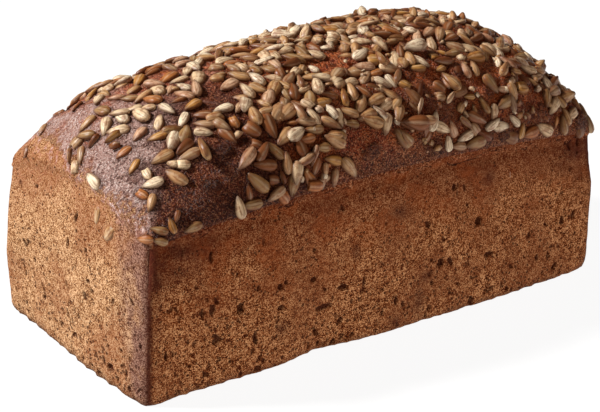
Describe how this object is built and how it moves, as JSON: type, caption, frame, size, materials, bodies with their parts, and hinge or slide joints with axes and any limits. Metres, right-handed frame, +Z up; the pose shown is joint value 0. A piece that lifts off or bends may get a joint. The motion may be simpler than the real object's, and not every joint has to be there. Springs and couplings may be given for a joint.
{
  "type": "sunflower seed bread loaf",
  "caption": "Whole tin-baked rye loaf with straight walls and a high domed crust, its top thickly strewn with hulled sunflower kernels.",
  "frame": {"origin": "middle of the flat base, on the surface that the loaf stands on", "axes": "+Z up, X along the loaf with +X towards the end that rose higher, -Y towards the long side shown at the front"},
  "size_m": [0.2359, 0.1136, 0.1146],
  "materials": {
    "baked_crust": null,
    "toasted_kernel": null
  },
  "bodies": {
    "root": {"loaf": "baked_crust"}
  },
  "joints": []
}
